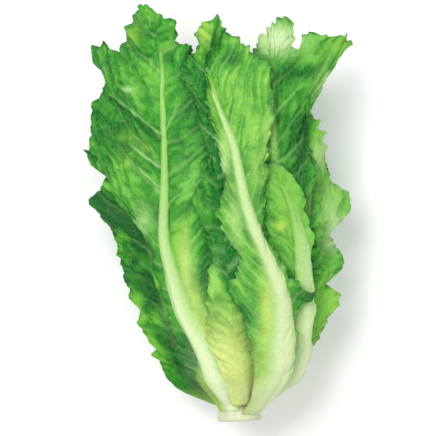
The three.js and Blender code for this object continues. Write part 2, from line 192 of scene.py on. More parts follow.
def stem_flesh():
    """Cream flesh, a browner rim and vessel ring, fine pits on the cut."""
    material, tree, place = new_tissue("stem_flesh")
    mottle = noise_of(tree, place, scale=160, detail=4)
    flesh = laid_over(tree, mottle, (0.36, 0.42, 0.22, 1), (0.66, 0.68, 0.48, 1))
    colour = laid_over(tree, mark_of(tree, "browned"), flesh, (0.36, 0.30, 0.15, 1))
    finish_tissue(tree, colour, relief=mottle, bump_strength=0.3, bump_depth=0.0006,
                  unevenness=mottle, roughness=(0.35, 0.6))
    return material


points, browned = stem_points()
corner = np.arange(browned.size).reshape(browned.shape)
after = np.roll(corner, -1, axis=1)
skin = np.stack([corner[:-1], corner[1:], after[1:], after[:-1]], axis=-1).reshape(-1, 4)
stem = mesh_piece("cut_stem", points.reshape(-1, 3), skin, {"browned": browned})
stem.data.materials.append(stem_flesh())
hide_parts("stem")
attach(stem, "root")

# ---------------------------------------------------------------------------------------------
# Heart. Small leaves packed round the growing point, the outer ones green and the inner ones pale,
# each a thin blade on a thick midrib that grows from the core. They are laid on each other, so
# each fills the room it is left.

HEART_LEAVES = 11
GREEN_HEART_LEAVES = 5
GOLDEN_ANGLE = 137.5
BLADE = 0.5  # thickness of a blade
LEAST_BLADE = 0.3  # the same, where it is squeezed between two leaves
SOLID_BLADE = 0.8  # the same, in the solids
VEIN_LAG = 1.25  # power by which the rib's points fall behind those of the margins
LEAF_FOOT_LAP = 2.0
FOOT_INNER_DEPTH = 1.6
FOOT_OUTER_DEPTH = 1.0
STEEPEST = 2.2  # greatest gain in a blade's height for its slope
SAME_PLACE = 0.06  # how near a solid's corner and a crossing are, in millimetres and degrees
MM_PER_DEGREE = np.radians(60)  # a degree round the head, at a margin's usual 60 mm from the axis
TIP_COUNT = 300  # the count along both margins at the tip; it rises on the right and falls on the left
RIB_NOISE_ROW = 30  # the row of the noise table that runs along the rib
UPPER_SIDE = 100  # degrees either way from straight up that marks placed from above can reach

# Distance of a leaf from its foot outwards, against the distance along the head from that foot.
HEAD_PROFILE = [
    (0, 0), (4, 1.6), (9, 7.5), (16, 17.5), (24, 25.5), (34, 32), (44, 37),
    (65, 46), (93, 54), (121, 60.5), (149, 65.5), (177, 69), (234, 70.5), (290, 74),
]
# The midrib's height above the blade and its half width, against the distance from the foot.
RIB_HEIGHT = [
    (0, 0.6), (6, 2.4), (20, 5.4), (60, 5.4), (110, 4), (170, 2.6), (230, 1.4), (290, 0.2),
]
RIB_HALF_WIDTH = [
    (0, 8.5), (20, 10.5), (45, 10), (75, 8.4), (115, 5.4), (170, 3.3), (230, 2), (290, 1.2),
]
# Half width of a heart leaf as a share of its greatest, against the share of its length.
HEART_OUTLINE = [
    (0, 0.66), (0.12, 0.68), (0.32, 0.76), (0.52, 0.9), (0.7, 1), (0.84, 0.92),
    (0.93, 0.68), (0.98, 0.36), (1, 0),
]
LAYING_ORDER = [f"leaf_heart_{n}" for n in range(HEART_LEAVES, 0, -1)] + [
    "leaf_back_inner", "leaf_back_left", "leaf_right", "leaf_back_right", "leaf_top_right",
    "leaf_far_left", "leaf_left", "leaf_right_front", "leaf_centre", "leaf_front",
]


def on_head(along, azimuth, radius):
    """Metres of a place: straight along the head, and round its slightly leaning axis."""
    turn = np.radians(azimuth)
    lean = AXIS_LEAN * (along - REST_FROM_CUT)
    x = lean + radius * np.sin(turn)
    z = AXIS_HEIGHT + radius * np.cos(turn)
    return np.stack([x, along - REST_FROM_CUT, z], axis=-1) * MM


def soft_noise(x, y, seed):
    """Random values from -1 to 1 at whole numbers of x and y, blended smoothly in between."""
    values = np.random.default_rng(seed).uniform(-1, 1, (64, 64))
    column, row = np.floor(x).astype(int), np.floor(y).astype(int)
    fx, fy = x - column, y - row
    fx, fy = fx * fx * (3 - 2 * fx), fy * fy * (3 - 2 * fy)
    a, b = values[column % 64, row % 64], values[(column + 1) % 64, row % 64]
    c, d = values[column % 64, (row + 1) % 64], values[(column + 1) % 64, (row + 1) % 64]
    return (a * (1 - fx) + b * fx) * (1 - fy) + (c * (1 - fx) + d * fx) * fy


def table_at(table, x):
    """Straight-line value of a table of (x, value) rows."""
    return np.interp(x, *np.transpose(table))


def curve_at(points, t):
    """Catmull-Rom curve through (along, azimuth) points, t from 0 to 1 by length."""
    rows = np.array(points, float)
    steps = np.hypot(*np.diff(rows, axis=0).T)
    lengths = np.concatenate([[0], steps.cumsum()])
    at = np.clip(t, 0, 1) * lengths[-1]
    k = np.clip(np.searchsorted(lengths, at, side="right") - 1, 0, len(rows) - 2)
    f = ((at - lengths[k]) / steps[k])[..., None]
    a, b, c, d = (rows[np.clip(k + n, 0, len(rows) - 1)] for n in (-1, 0, 1, 2))
    return b + 0.5 * f * (c - a + f * (2 * a - 5 * b + 4 * c - d + f * (3 * (b - c) + d - a)))


def blade_places(leaf, row, column):
    """Where a blade's rows and columns cross, whole numbers being those of its solid.

    A leaf has the rows and the steps of its solid, listed points of its rib and its margins,
    a size of rib, and a level: the share of HEAD_PROFILE that it stands out from the core.
    Rows run from the foot to the tip. Columns run from the rib, 0, to the margins: the first two
    on each side cross the rib and the others share the blade between them. The rib takes up its
    own half width, but at least 0.08 and at most 0.7 of the way to the margin. The last row is
    the seam from the end of the rib to the tip.
    """
    half = leaf["steps"] + 2
    t = row / leaf["rows"]
    rib = curve_at(leaf["rib"], t**VEIN_LAG)
    margins = [curve_at(leaf[side], t) for side in ("left", "right")]
    margin = np.where((column < 0)[..., None], *margins)
    from_foot = rib[..., 0] - leaf["rib"][0][0]
    head_radius = STEM_RADIUS + leaf["level"] * table_at(HEAD_PROFILE, from_foot)
    reach = np.radians(np.abs(margin[..., 1] - rib[..., 1])) * head_radius
    rib_width = leaf["rib_size"] * table_at(RIB_HALF_WIDTH, from_foot)
    share = np.clip(rib_width / np.maximum(reach, 0.1), 0.08, 0.7)
    share += (2 / half - share) * np.clip(row - leaf["rows"] + 1, 0, 1)
    k = np.abs(column)
    on_rib = share * np.interp(k, [0, 1, 2], [0, 0.58, 1])
    out = np.where(k < 2, on_rib, share + (1 - share) * (k - 2) / leaf["steps"])
    place = rib + (margin - rib) * out[..., None]
    reach = np.maximum(np.hypot(margin[..., 0] - rib[..., 0], reach), 1)
    return {"along": place[..., 0], "azimuth": place[..., 1], "out": out, "reach": reach,
            "rib": rib, "margin": margin, "side": np.where(column < 0, -1, 1)}


def turned(angle):
    """An angle brought to between -180 and 180 degrees."""
    return (angle + 180) % 360 - 180


def packed_mesh(name):
    """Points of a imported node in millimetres, and the corners of its triangles."""
    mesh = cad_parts[name].data
    points = np.empty(len(mesh.vertices) * 3)
    mesh.vertices.foreach_get("co", points)
    mesh.calc_loop_triangles()
    corners = np.empty(len(mesh.loop_triangles) * 3, int)
    mesh.loop_triangles.foreach_get("vertices", corners)
    return points.reshape(-1, 3) * 1000, corners.reshape(-1, 3)


def from_point(points):
    """The reverse of on_head, in millimetres: distance along, azimuth and radius."""
    along = points[..., 1] + REST_FROM_CUT
    dx = points[..., 0] - AXIS_LEAN * (along - REST_FROM_CUT)
    dz = points[..., 2] - AXIS_HEIGHT
    return along, np.degrees(np.arctan2(dx, dz)), np.hypot(dx, dz)


def solid_radius(name, place):
    """Radius of a packed leaf's inner face at each crossing of its own rows and columns."""
    along, azimuth, radius = from_point(packed_mesh(name)[0])
    off_along = place["along"].reshape(-1, 1) - along
    off_round = turned(place["azimuth"].reshape(-1, 1) - azimuth)
    near = np.hypot(off_along, off_round) < SAME_PLACE
    inner = np.where(near, radius, np.inf).min(axis=1).reshape(place["along"].shape)
    rib = inner.shape[1] // 2
    inner[-1, rib] = 0.5 * (inner[-2, rib] + inner[-1, rib + 1])
    return inner


def between(grid, row, column):
    """Smooth value of a coarse grid at fractional rows and columns (Catmull-Rom both ways)."""
    i = np.clip(np.floor(row).astype(int), 0, grid.shape[0] - 2)
    j = np.clip(np.floor(column).astype(int), 0, grid.shape[1] - 2)

    def weights(f):
        return (-0.5 * f + f * f - 0.5 * f**3, 1 - 2.5 * f * f + 1.5 * f**3,
                0.5 * f + 2 * f * f - 1.5 * f**3, 0.5 * f**3 - 0.5 * f * f)

    total = 0
    for n, row_weight in enumerate(weights(row - i)):
        for m, column_weight in enumerate(weights(column - j)):
            near_row = np.clip(i + n - 1, 0, grid.shape[0] - 1)
            near_column = np.clip(j + m - 1, 0, grid.shape[1] - 1)
            total = total + row_weight * column_weight * grid[near_row, near_column]
    return total


def evened(values, rounds):
    """Each value drawn towards the mean of its four neighbours, again and again."""
    for _ in range(rounds):
        edged = np.pad(values, 1, mode="edge")
        around = edged[:-2, 1:-1] + edged[2:, 1:-1] + edged[1:-1, :-2] + edged[1:-1, 2:]
        values = 0.5 * values + 0.125 * around
    return values


CELLS_BEFORE_CUT = 10
CELLS_ALONG = 320


def cell_of(along, azimuth):
    """Cell of 1 mm by 1 degree that a place is in."""
    row = np.clip(np.floor(along).astype(int) + CELLS_BEFORE_CUT, 0, CELLS_ALONG - 1)
    return row, np.floor(azimuth).astype(int) % 360


def radius_maps(name):
    """Least and greatest radius of a packed leaf in every cell, from points spread over it."""
    points, triangles = packed_mesh(name)
    steps = 14
    a, b = np.meshgrid(np.arange(steps + 1), np.arange(steps + 1), indexing="ij")
    a, b = a[a + b <= steps] / steps, b[a + b <= steps] / steps
    shares = np.stack([a, b, 1 - a - b], axis=-1)
    spread = np.einsum("ks,tsc->tkc", shares, points[triangles]).reshape(-1, 3)
    along, azimuth, radius = from_point(spread)
    low = np.full((CELLS_ALONG, 360), np.inf)
    high = np.full((CELLS_ALONG, 360), -np.inf)
    np.minimum.at(low, cell_of(along, azimuth), radius)
    np.maximum.at(high, cell_of(along, azimuth), radius)
    return low, high


def widened(cells, pick):
    """Each cell takes the least or greatest of itself and its eight neighbours."""
    for axis in (0, 1):
        cells = pick(cells, pick(np.roll(cells, 1, axis), np.roll(cells, -1, axis)))
    return cells


leaf_maps = {name: radius_maps(name) for name in LAYING_ORDER}


def clearances(name):
    """Greatest radius of what lies under a leaf and least radius of what lies on it, by cell."""
    place = LAYING_ORDER.index(name)
    bare = np.full((CELLS_ALONG, 360), np.inf)
    under = np.max([leaf_maps[n][1] for n in LAYING_ORDER[:place]] + [-bare], axis=0)
    over = np.min([leaf_maps[n][0] for n in LAYING_ORDER[place + 1:]] + [bare], axis=0)
    return widened(under, np.maximum), widened(over, np.minimum)


def side_veins(look, from_foot, across, side):
    """Ridges of the side veins, the quilting between them, and where each place's vein starts.

    The spacing of the veins goes in a straight line from the first vein_steps at the foot to the
    second 220 mm on. A vein climbs outwards, steeper towards the tip and the margin. It is a bell
    across, of its own random strength, and dies away towards the margin. Three fine twigs lie in
    each gap, and the blade swells between a vein and the next one.
    """
    first_step, last_step = look["vein_steps"]
    spacing_gain = (last_step - first_step) / 220
    climb = np.interp(from_foot, [20, 170], look["climb"])
    outwards = np.abs(across)
    wander = 4.5 * soft_noise(from_foot / 23 + 9 * side, outwards / 15, look["seed"] + 1)
    wander += 1.2 * soft_noise(from_foot / 7 + 9 * side, outwards / 6, look["seed"] + 1)
    start = np.maximum(from_foot - climb * outwards * (0.75 + outwards / 90) + wander, 0)
    spacing = first_step + spacing_gain * start
    count = np.log(spacing / first_step) / spacing_gain + 0.25 * side
    nearest = np.round(count)
    off = count - nearest
    strength = 0.6 + 0.4 * soft_noise(nearest * 1.7 + 5 * side, 0.5 + 0 * count, look["seed"] + 2)
    width = np.interp(outwards, [4, 45], [1.5, 0.6])
    ridge = strength * np.exp(-((off * spacing / width) ** 2))
    ridge = ridge * np.interp(outwards, [0, 45], [1, 0.25])
    twig_wander = 1.3 * soft_noise(from_foot / 9, across / 9, look["seed"] + 3)
    twig_off = (3 * count + twig_wander + 0.5) % 1 - 0.5
    twigs = 0.22 * np.exp(-((twig_off * spacing / 3 / 0.55) ** 2))
    twigs = twigs * np.clip(outwards / 15 - 0.3, 0, 1)
    swell = 1 - np.exp(-((off * spacing / 3.6) ** 2))
    fade = np.clip((from_foot - 12) / 25, 0, 1)
    return np.maximum(ridge, twigs) * fade, swell * fade, start


def soft_oval(at, middle_x, middle_along, half_width, half_length):
    """A bell, 1 in the middle of an oval seen from above, and nothing on the underside."""
    off_x = (at["x"] - middle_x) / half_width
    off_along = (at["along"] - middle_along) / half_length
    return np.exp(-(off_x**2) - off_along**2) * at["upper"]


def soft_line(at, x, along, end_x, end_along, half_width):
    """A bell across a straight line seen from above, 1 on the line but faint at its start."""
    dx, dy = end_x - x, end_along - along
    from_x, from_along = at["x"] - x, at["along"] - along
    share = np.clip((from_x * dx + from_along * dy) / (dx * dx + dy * dy), 0, 1)
    off = np.hypot(from_x - share * dx, from_along - share * dy)
    return np.exp(-((off / half_width) ** 2)) * np.clip(0.2 + 3 * share, 0, 1) * at["upper"]


# How a leaf is finished unless it says otherwise, in millimetres and shares of one. A lobe is
# (along, azimuth, growth, lift, half length, depth) of a stretch of margin. A spot is (x, along,
# half width, half length) of an oval and its (wash, gold, pale). A crease is (x, along, end x, end
# along, half width) of a line and its (rise, wash, pale). Both are placed as seen from above. Their
# washes give the leaf's own patches and veins, and also painted shade: dark shadows beside ribs,
# under curled lobes, between leaves and along folds; some light spots are painted light.
LOOK = {
    # Fineness of the grid, and the number that the seeds of the leaf's noises start from.
    "rows": 240, "rib_columns": 6, "blade_columns": 30, "seed": 10,
    # Side veins: spacing at the foot and 220 mm on, slope low and high on the leaf, and height.
    "vein_steps": (9, 20), "climb": (0.3, 0.95), "vein_height": 0.8,
    # Height of the swelling between veins, of the blisters and of the waves at the margins.
    "quilt": 1.1, "blister": 2.0, "ruffle": 2.4,
    # Size of the teeth, the width of blade that is too narrow for them, and the lobes.
    "frill": 1.0, "plain_edge": 7, "lobes": [],
    # Rib: share of its height, how far short of its line it stops, the length it fades over, and
    # tables of its width and of its shift to the right by distance along.
    "rib_rise": 1, "rib_stop": 0, "rib_fade": 35, "rib_wide": [(0, 1)], "rib_shift": [(0, 0)],
    # Share of the rib's and the veins' colour, sharpness of the rib's left side, and how far up
    # the cream and the gold go.
    "rib_paint": 1, "vein_paint": 0.8, "rib_crisp": 3.3, "cream_reach": 150, "gold_reach": 60,
    # Wash, where more is lighter: overall, in patches, less as painted shade near and under other
    # leaves, and less at the margin.
    "tone": 0, "mottle": 1.0, "shade": 0.9, "edge": 1.0, "spots": [], "creases": [],
}


def fine_grid(leaf, look):
    """Places of a leaf's fine grid, with the radius of its solid's inner face there.

    Columns run from the left margin over the rib to the right margin. On the blade they draw
    together towards the margin: their distance from it is a share to the power 1.35. The radius is
    evened 30 times, but sinks no more than 0.4 mm.
    """
    half = leaf["steps"] + 2
    solid_row, solid_column = np.meshgrid(
        np.arange(leaf["rows"] + 1.0), np.arange(-half, half + 1.0), indexing="ij")
    solid_inner = solid_radius(leaf["name"], blade_places(leaf, solid_row, solid_column))
    side_columns = np.concatenate([
        np.linspace(0, 2, look["rib_columns"], endpoint=False),
        2 + (half - 2) * (1 - np.linspace(1, 0, look["blade_columns"] + 1) ** 1.35)])
    row, column = np.meshgrid(
        np.linspace(0, leaf["rows"], look["rows"] + 1),
        np.concatenate([-side_columns[:0:-1], side_columns]), indexing="ij")
    radius = between(solid_inner, row, column + half)
    radius = np.maximum(evened(radius, 30), radius - 0.4)
    seam = np.clip(row - leaf["rows"] + 1, 0, 1)
    return blade_places(leaf, row, column) | {"radius": radius, "seam": seam}


def shaped_margins(look, at):
    """Lobes and rounded teeth along the margins, in the plane of the blade.

    A lobe is a bell along the margin and dies away inwards by the power of e over its depth, and
    its lift is kept for the relief. The teeth are three noises along the margin, 3, 7 and 17 mm
    wide, less 0.8 mm. They stand square to it, but away from the rib where the tip is near. They
    need a blade wider than plain_edge, and are full 12 mm beyond that.
    """
    margin, side, reach, seed = at["margin"], at["side"], at["reach"], look["seed"]
    run = np.diff(margin, axis=0) * [1, MM_PER_DEGREE]
    to_tip = np.pad(np.hypot(run[..., 0], run[..., 1])[::-1].cumsum(0)[::-1], ((0, 1), (0, 0)))
    length = TIP_COUNT + side * np.where(side < 0, to_tip[:, :1], to_tip[:, -1:])
    from_margin = (1 - at["out"]) * reach
    still = np.full_like(length, 0.5)
    teeth = 2.6 * np.abs(soft_noise(length / 2.7, still, seed + 4))
    broad_teeth = 1.5 * soft_noise(length / 7, still, seed + 5)
    teeth += broad_teeth + 1.6 * soft_noise(length / 17, still, seed + 3)
    grown, lifted = np.zeros_like(length), np.zeros_like(length)
    for lobe_along, lobe_azimuth, growth, lift, half_length, depth in look["lobes"]:
        off_along = margin[..., 0] - lobe_along
        off_round = turned(margin[..., 1] - lobe_azimuth)
        bump = np.exp(-(off_along**2 + off_round**2) / half_length**2 - from_margin / depth)
        grown += growth * bump
        lifted += lift * bump
    wide = np.clip((reach + grown - look["plain_edge"]) / 12, 0, 1)
    toothed = look["frill"] * (teeth - 0.8) * np.exp(-from_margin / 5) * wide
    outwards = (margin - at["rib"]) / reach[..., None]
    run = np.gradient(margin, axis=0)
    ahead, round_head = evened(run[..., 0], 12), evened(run[..., 1] * MM_PER_DEGREE, 12)
    pace = np.maximum(np.hypot(ahead, round_head), 0.01)
    square_off = np.stack([-round_head, ahead / MM_PER_DEGREE], axis=-1) * (side / pace)[..., None]
    near_tip = np.exp(-np.abs(length - TIP_COUNT) / 6)[..., None]
    square_off = near_tip * outwards + (1 - near_tip) * square_off
    spread = at["rib"] + outwards * (at["out"] * reach + grown)[..., None]
    spread += square_off * toothed[..., None]
    return {"along": spread[..., 0], "azimuth": spread[..., 1], "from_margin": from_margin,
            "length": length, "lifted": lifted, "wide": wide}


def rib_and_veins(leaf, look, at):
    """The rib and the veins at each place, and how far off the rib it is.

    The rib's back is round: its rise goes with one less the square of the share of its half
    width, to the power 0.6, and fades out before the tip.
    """
    along, radius = at["along"], at["radius"]
    rib_line = curve_at(leaf["rib"], np.linspace(0, 1, 200))
    off_line = at["azimuth"] - np.interp(along, rib_line[:, 0], rib_line[:, 1])
    across = np.radians(off_line) * radius
    across -= table_at(look["rib_shift"], along)
    from_foot = along - leaf["rib"][0][0]
    rib_width = leaf["rib_size"] * table_at(RIB_HALF_WIDTH, from_foot)
    rib_width *= table_at(look["rib_wide"], along)
    rib_fade = np.clip((leaf["rib"][-1][0] - look["rib_stop"] - along) / look["rib_fade"], 0, 1)
    rib_round = np.clip(1 - (across / rib_width) ** 2, 0, 1) ** 0.6 * (1 - at["seam"]) * rib_fade
    rib = look["rib_rise"] * leaf["rib_size"] * table_at(RIB_HEIGHT, from_foot) * rib_round
    veins, swell, start = side_veins(look, from_foot, across, at["side"])
    off_rib = np.clip(np.abs(across) / rib_width - 0.9, 0, 1)
    x = AXIS_LEAN * (along - REST_FROM_CUT) + radius * np.sin(np.radians(at["azimuth"]))
    return {"x": x, "upper": np.abs(at["azimuth"]) < UPPER_SIDE, "from_foot": from_foot,
            "across": across, "rib_width": rib_width, "rib_fade": rib_fade, "rib_back": rib,
            "veins": veins, "swell": swell, "start": start,
            "off_rib": np.maximum(off_rib, 1 - look["rib_rise"])}


def blade_relief(look, at):
    """Height of the blade's middle over the evened solid: quilting, blisters, creases, ruffles.

    Blisters are a noise 7 to 8 mm across, without its sign, and half of one 3.6 mm across, and a
    third noise bends them both. Ruffles are waves along the margin, and the finer they are, the
    sooner they die away from it: 4, 10 and 25 mm long over 4, 10 and 22 mm.
    """
    seed, along, from_foot, across = look["seed"], at["along"], at["from_foot"], at["across"]
    start, length, from_margin = at["start"], at["length"], at["from_margin"]
    bent = 3 * soft_noise(along / 12, across / 12 + RIB_NOISE_ROW, seed + 12)
    blisters = np.abs(soft_noise((start + bent) / 7, (across - bent) / 8 + RIB_NOISE_ROW, seed + 6))
    fine_across = (across + bent) / 3.6 + RIB_NOISE_ROW
    blisters += 0.5 * np.abs(soft_noise((along - bent) / 3.6, fine_across, seed + 7))
    sheet = look["quilt"] * at["swell"] + look["blister"] * blisters
    sheet *= at["off_rib"] * np.clip(from_foot / 40, 0.1, 1)
    for *line, rise, _, _ in look["creases"]:
        sheet += rise * soft_line(at, *line)
    still = np.full_like(length, 0.5)
    ruffle = 1.2 * soft_noise(length / 4.2, from_margin / 9, seed + 8) * np.exp(-from_margin / 4)
    ruffle += 1.5 * soft_noise(length / 10, from_margin / 25, seed + 9) * np.exp(-from_margin / 10)
    ruffle += 1.5 * soft_noise(length / 25, still, seed + 10) * np.exp(-from_margin / 22)
    margin_rise = look["ruffle"] * ruffle * at["wide"] + at["lifted"]
    return sheet + margin_rise * np.clip(from_foot / 25, 0, 1)


def leaf_faces(look, at, sheet, under, over):
    """Radius of the inner and the outer face, kept between the leaves beneath and above.

    The outer face is the inner one plus the blade, thicker where it is steep, the rib and the
    veins. Each may go half way into the gap that the solids leave, and not into the ground.
    """
    along, azimuth, radius = at["along"], at["azimuth"], at["radius"]
    climb = np.gradient(radius, axis=0) / np.maximum(np.abs(np.gradient(along, axis=0)), 0.3)
    turn = np.radians(np.abs(np.gradient(azimuth, axis=1))) * radius
    bank = np.gradient(radius, axis=1) / np.maximum(turn, 0.3)
    slope = np.minimum(np.sqrt(1 + climb**2 + bank**2), STEEPEST)
    thick = BLADE * slope * np.interp(at["from_margin"], [0, 3], [0.6, 1])
    thick += at["rib_back"] + look["vein_height"] * at["veins"] * at["off_rib"]
    solid_outer = radius + at["rib_back"] + SOLID_BLADE * slope
    low = np.minimum(0.5 * (radius + under), radius)
    high = np.maximum(0.5 * (solid_outer + over), solid_outer)
    down = -np.cos(np.radians(azimuth))
    ground = AXIS_HEIGHT / np.maximum(down, 0.05)
    high = np.where(down > 0.05, np.minimum(high, ground), high)
    outer = np.minimum(radius + sheet + thick, high)
    inner = np.maximum(np.minimum(radius + sheet, outer - thick), low)
    return inner, np.maximum(outer, inner + LEAST_BLADE)


def leaf_marks(look, at, sheet, cover_shade):
    """What the colours follow: a share for each coat, the wash, and the place for the fibres.

    The wash is two noises, 24 and 8 mm wide, plus how far the blade stands over its evened self,
    which paints light on the raised blisters and shade in the hollows between them. Painted shade
    takes from it where other leaves lie on it, and it is less along the margin. Spots and creases
    add to it, with painted shade and painted light among them.
    """
    along, across, from_foot = at["along"], at["across"], at["from_foot"]
    relief_light_and_shade = sheet - evened(sheet, 25)
    mottle = 0.8 * soft_noise(along / 24, across / 24 + RIB_NOISE_ROW, look["seed"] + 11)
    mottle += 0.5 * soft_noise(at["start"] / 8, across / 9 + RIB_NOISE_ROW, look["seed"] + 13)
    wash = look["tone"] + look["mottle"] * mottle
    # Painted light on the raised blisters and painted shade in the hollows between them.
    wash += 0.85 * np.clip(relief_light_and_shade, -0.9, 0.7) * at["off_rib"]
    # Painted shade near and under the leaves that lie on this one.
    wash -= look["shade"] * evened(cover_shade, 3)
    wash -= look["edge"] * np.exp(-at["from_margin"] / 1.2)
    gold = 0.7 * np.clip(1 - from_foot / look["gold_reach"], 0, 1)
    pale = np.zeros_like(gold)
    # Spots and creases: the leaf's own patches and veins, with painted shade and painted light among
    # them.
    for *oval, spot_wash, spot_gold, spot_pale in look["spots"]:
        share = soft_oval(at, *oval)
        wash = wash + spot_wash * share
        gold, pale = gold + spot_gold * share, pale + spot_pale * share
    for *line, _, line_wash, line_pale in look["creases"]:
        share = soft_line(at, *line)
        wash, pale = wash + line_wash * share, pale + line_pale * share
    crisp = np.where(across < 0, look["rib_crisp"], LOOK["rib_crisp"])
    painted = np.clip(crisp * (1.12 - np.abs(across) / at["rib_width"]), 0, 1)
    middle = 0.4 + 0.6 * np.exp(-((across / at["rib_width"] / 0.55) ** 2))
    return {
        "rib": look["rib_paint"] * painted * at["rib_fade"],
        "cream": np.clip(1.15 - from_foot / look["cream_reach"], 0, 1) * middle,
        "vein": look["vein_paint"] * np.clip(at["veins"], 0, 1),
        "wash": wash, "gold": np.clip(gold, 0, 1), "pale": np.clip(pale, 0, 1),
        "across": across * MM, "along": along * MM,
    }


def leaf_surface(leaf, look):
    """Both faces of a leaf on one grid, finer than its solid, with the same rows, rib and margins.

    The inner face is the solid's, evened, plus the relief of the blade. The outer face adds the
    blade's thickness, the rib's round back and the veins.
    """
    at = fine_grid(leaf, look)
    at |= shaped_margins(look, at)
    at |= rib_and_veins(leaf, look, at)
    sheet = blade_relief(look, at)
    cell = cell_of(at["along"], at["azimuth"])
    under, over = clearances(leaf["name"])
    inner, outer = leaf_faces(look, at, sheet, under[cell], over[cell])
    # Painted shade: where other leaves lie on this one, spread out a little round their edges.
    cover_shade = np.isfinite(over).astype(float)
    cover_shade = 0.7 * evened(cover_shade, 40) + 0.9 * evened(cover_shade, 8)
    return at["along"], at["azimuth"], inner, outer, leaf_marks(look, at, sheet, cover_shade[cell])


def leaf_piece(leaf, material, slot, **own_look):
    """One leaf as a closed shell: its foot laps into the core, and its seam is brought together.

    Four rows lead from inside the core to the foot in even steps. A strip round the foot and the
    margins joins the two faces, and the mark "inside" tells them apart.
    """
    along, azimuth, inner, outer, marks = leaf_surface(leaf, LOOK | own_look)
    foot = leaf["rib"][0][0]
    core = stem_radius(foot)
    laps = np.linspace(1, 0.25, 4)[:, None]

    def finished(values, end):
        seam = 0.5 * (values[-1:] + values[-1:, ::-1])
        return np.concatenate([values[:1] + (end - values[:1]) * laps, values[:-1], seam])

    along, azimuth = finished(along, foot - LEAF_FOOT_LAP), finished(azimuth, azimuth[:1])
    inner = finished(inner, core - FOOT_INNER_DEPTH)
    outer = finished(outer, core - FOOT_OUTER_DEPTH)
    marks = {name: finished(values, values[:1]) for name, values in marks.items()}
    corner = np.arange(along.size).reshape(along.shape)
    quads = [corner[:-1, :-1], corner[:-1, 1:], corner[1:, 1:], corner[1:, :-1]]
    face = np.stack(quads, axis=-1).reshape(-1, 4)
    rim = np.concatenate([corner[0], corner[1:, -1], corner[-2::-1, 0]])
    start, end = rim[:-1], rim[1:]
    strip = np.stack([end + along.size, start + along.size, start, end], axis=-1)
    points = np.concatenate([
        on_head(along, azimuth, inner).reshape(-1, 3), on_head(along, azimuth, outer).reshape(-1, 3)])
    marks = {name: np.tile(values.ravel(), 2) for name, values in marks.items()}
    marks["inside"] = np.repeat([1.0, 0.0], along.size)
    faces = np.concatenate([face[:, ::-1], face + along.size, strip])
    piece = mesh_piece(leaf["name"].replace("leaf", "fine"), points, faces, marks)
    piece.data.materials.append(material)
    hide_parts(leaf["name"])
    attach(piece, "root")


def leaf_tissue(name, deep, green, light, rib, cream, gold):
    """Leaf: green washes, pale veins over a fine net, a fibrous rib and a golden base.

    The tone runs from deep at 0 over green at a half to light at 1. It is the wash mark, plus two
    noises in space: mottle, about 9 mm across, and grain, about 1 mm. Gold, pale, net, vein and
    rib are laid over it in that order, and some green over the whole inner face. The rib is
    streaked by a noise drawn out 20 times along it.
    """
    material, tree, place = new_tissue(name)

    def mark(attribute):
        return mark_of(tree, attribute)

    def worked(operation, *values):
        node = tree.nodes.new("ShaderNodeMath")
        node.operation = operation
        for socket, value in zip(node.inputs, values):
            feed(tree, socket, value)
        return node.outputs["Value"]

    def stretched(value, middle, gain):
        return worked("MULTIPLY", worked("SUBTRACT", value, middle), gain)

    mottle = noise_of(tree, place, scale=110, detail=6)
    grain = noise_of(tree, place, scale=900, detail=2)
    net = set_inputs(tree.nodes.new("ShaderNodeTexVoronoi"), Scale=260)
    net.feature = "DISTANCE_TO_EDGE"
    tree.links.new(place, net.inputs["Vector"])
    from_net = worked("MINIMUM", worked("MULTIPLY", net.outputs["Distance"], 9), 1)
    net_line = worked("SUBTRACT", 1, from_net)
    fibre_place = tree.nodes.new("ShaderNodeCombineXYZ")
    tree.links.new(mark("across"), fibre_place.inputs["X"])
    tree.links.new(worked("MULTIPLY", mark("along"), 0.05), fibre_place.inputs["Y"])
    fibre = noise_of(tree, fibre_place.outputs["Vector"], scale=1300, detail=3)

    tone = worked("MULTIPLY_ADD", mark("wash"), 0.42, 0.5)
    tone = worked("ADD", tone, stretched(mottle, 0.5, 0.9))
    tone = worked("ADD", tone, stretched(grain, 0.5, 0.45))
    greens = tree.nodes.new("ShaderNodeValToRGB")
    greens.color_ramp.elements[0].position = 0.0
    greens.color_ramp.elements[0].color = (*deep, 1)
    greens.color_ramp.elements[1].position = 1.0
    greens.color_ramp.elements[1].color = (*light, 1)
    greens.color_ramp.elements.new(0.5).color = (*green, 1)
    tree.links.new(tone, greens.inputs["Fac"])
    coat = laid_over(tree, mark("gold"), greens.outputs["Color"], (*gold, 1))
    coat = laid_over(tree, mark("pale"), coat, (*cream, 1))
    coat = laid_over(tree, worked("MULTIPLY", net_line, 0.12), coat, (*rib, 1))
    coat = laid_over(tree, mark("vein"), coat, (*rib, 1))
    rib_coat = laid_over(tree, mark("cream"), (*rib, 1), (*cream, 1))
    rib_coat = laid_over(tree, stretched(fibre, 0.42, 1.4), rib_coat, (*gold, 1))
    coat = laid_over(tree, mark("rib"), coat, rib_coat)
    coat = laid_over(tree, worked("MULTIPLY", mark("inside"), 0.3), coat, (*green, 1))

    relief = worked("MULTIPLY_ADD", net_line, 0.5, worked("MULTIPLY", mottle, 0.8))
    relief = worked("ADD", relief, worked("MULTIPLY", fibre, worked("MULTIPLY", mark("rib"), 0.5)))
    shader = finish_tissue(tree, coat, relief=relief, bump_strength=0.5, bump_depth=0.0008,
                           unevenness=mottle, roughness=(0.4, 0.62))
    shader.inputs["Specular IOR Level"].default_value = 0.12
    return material


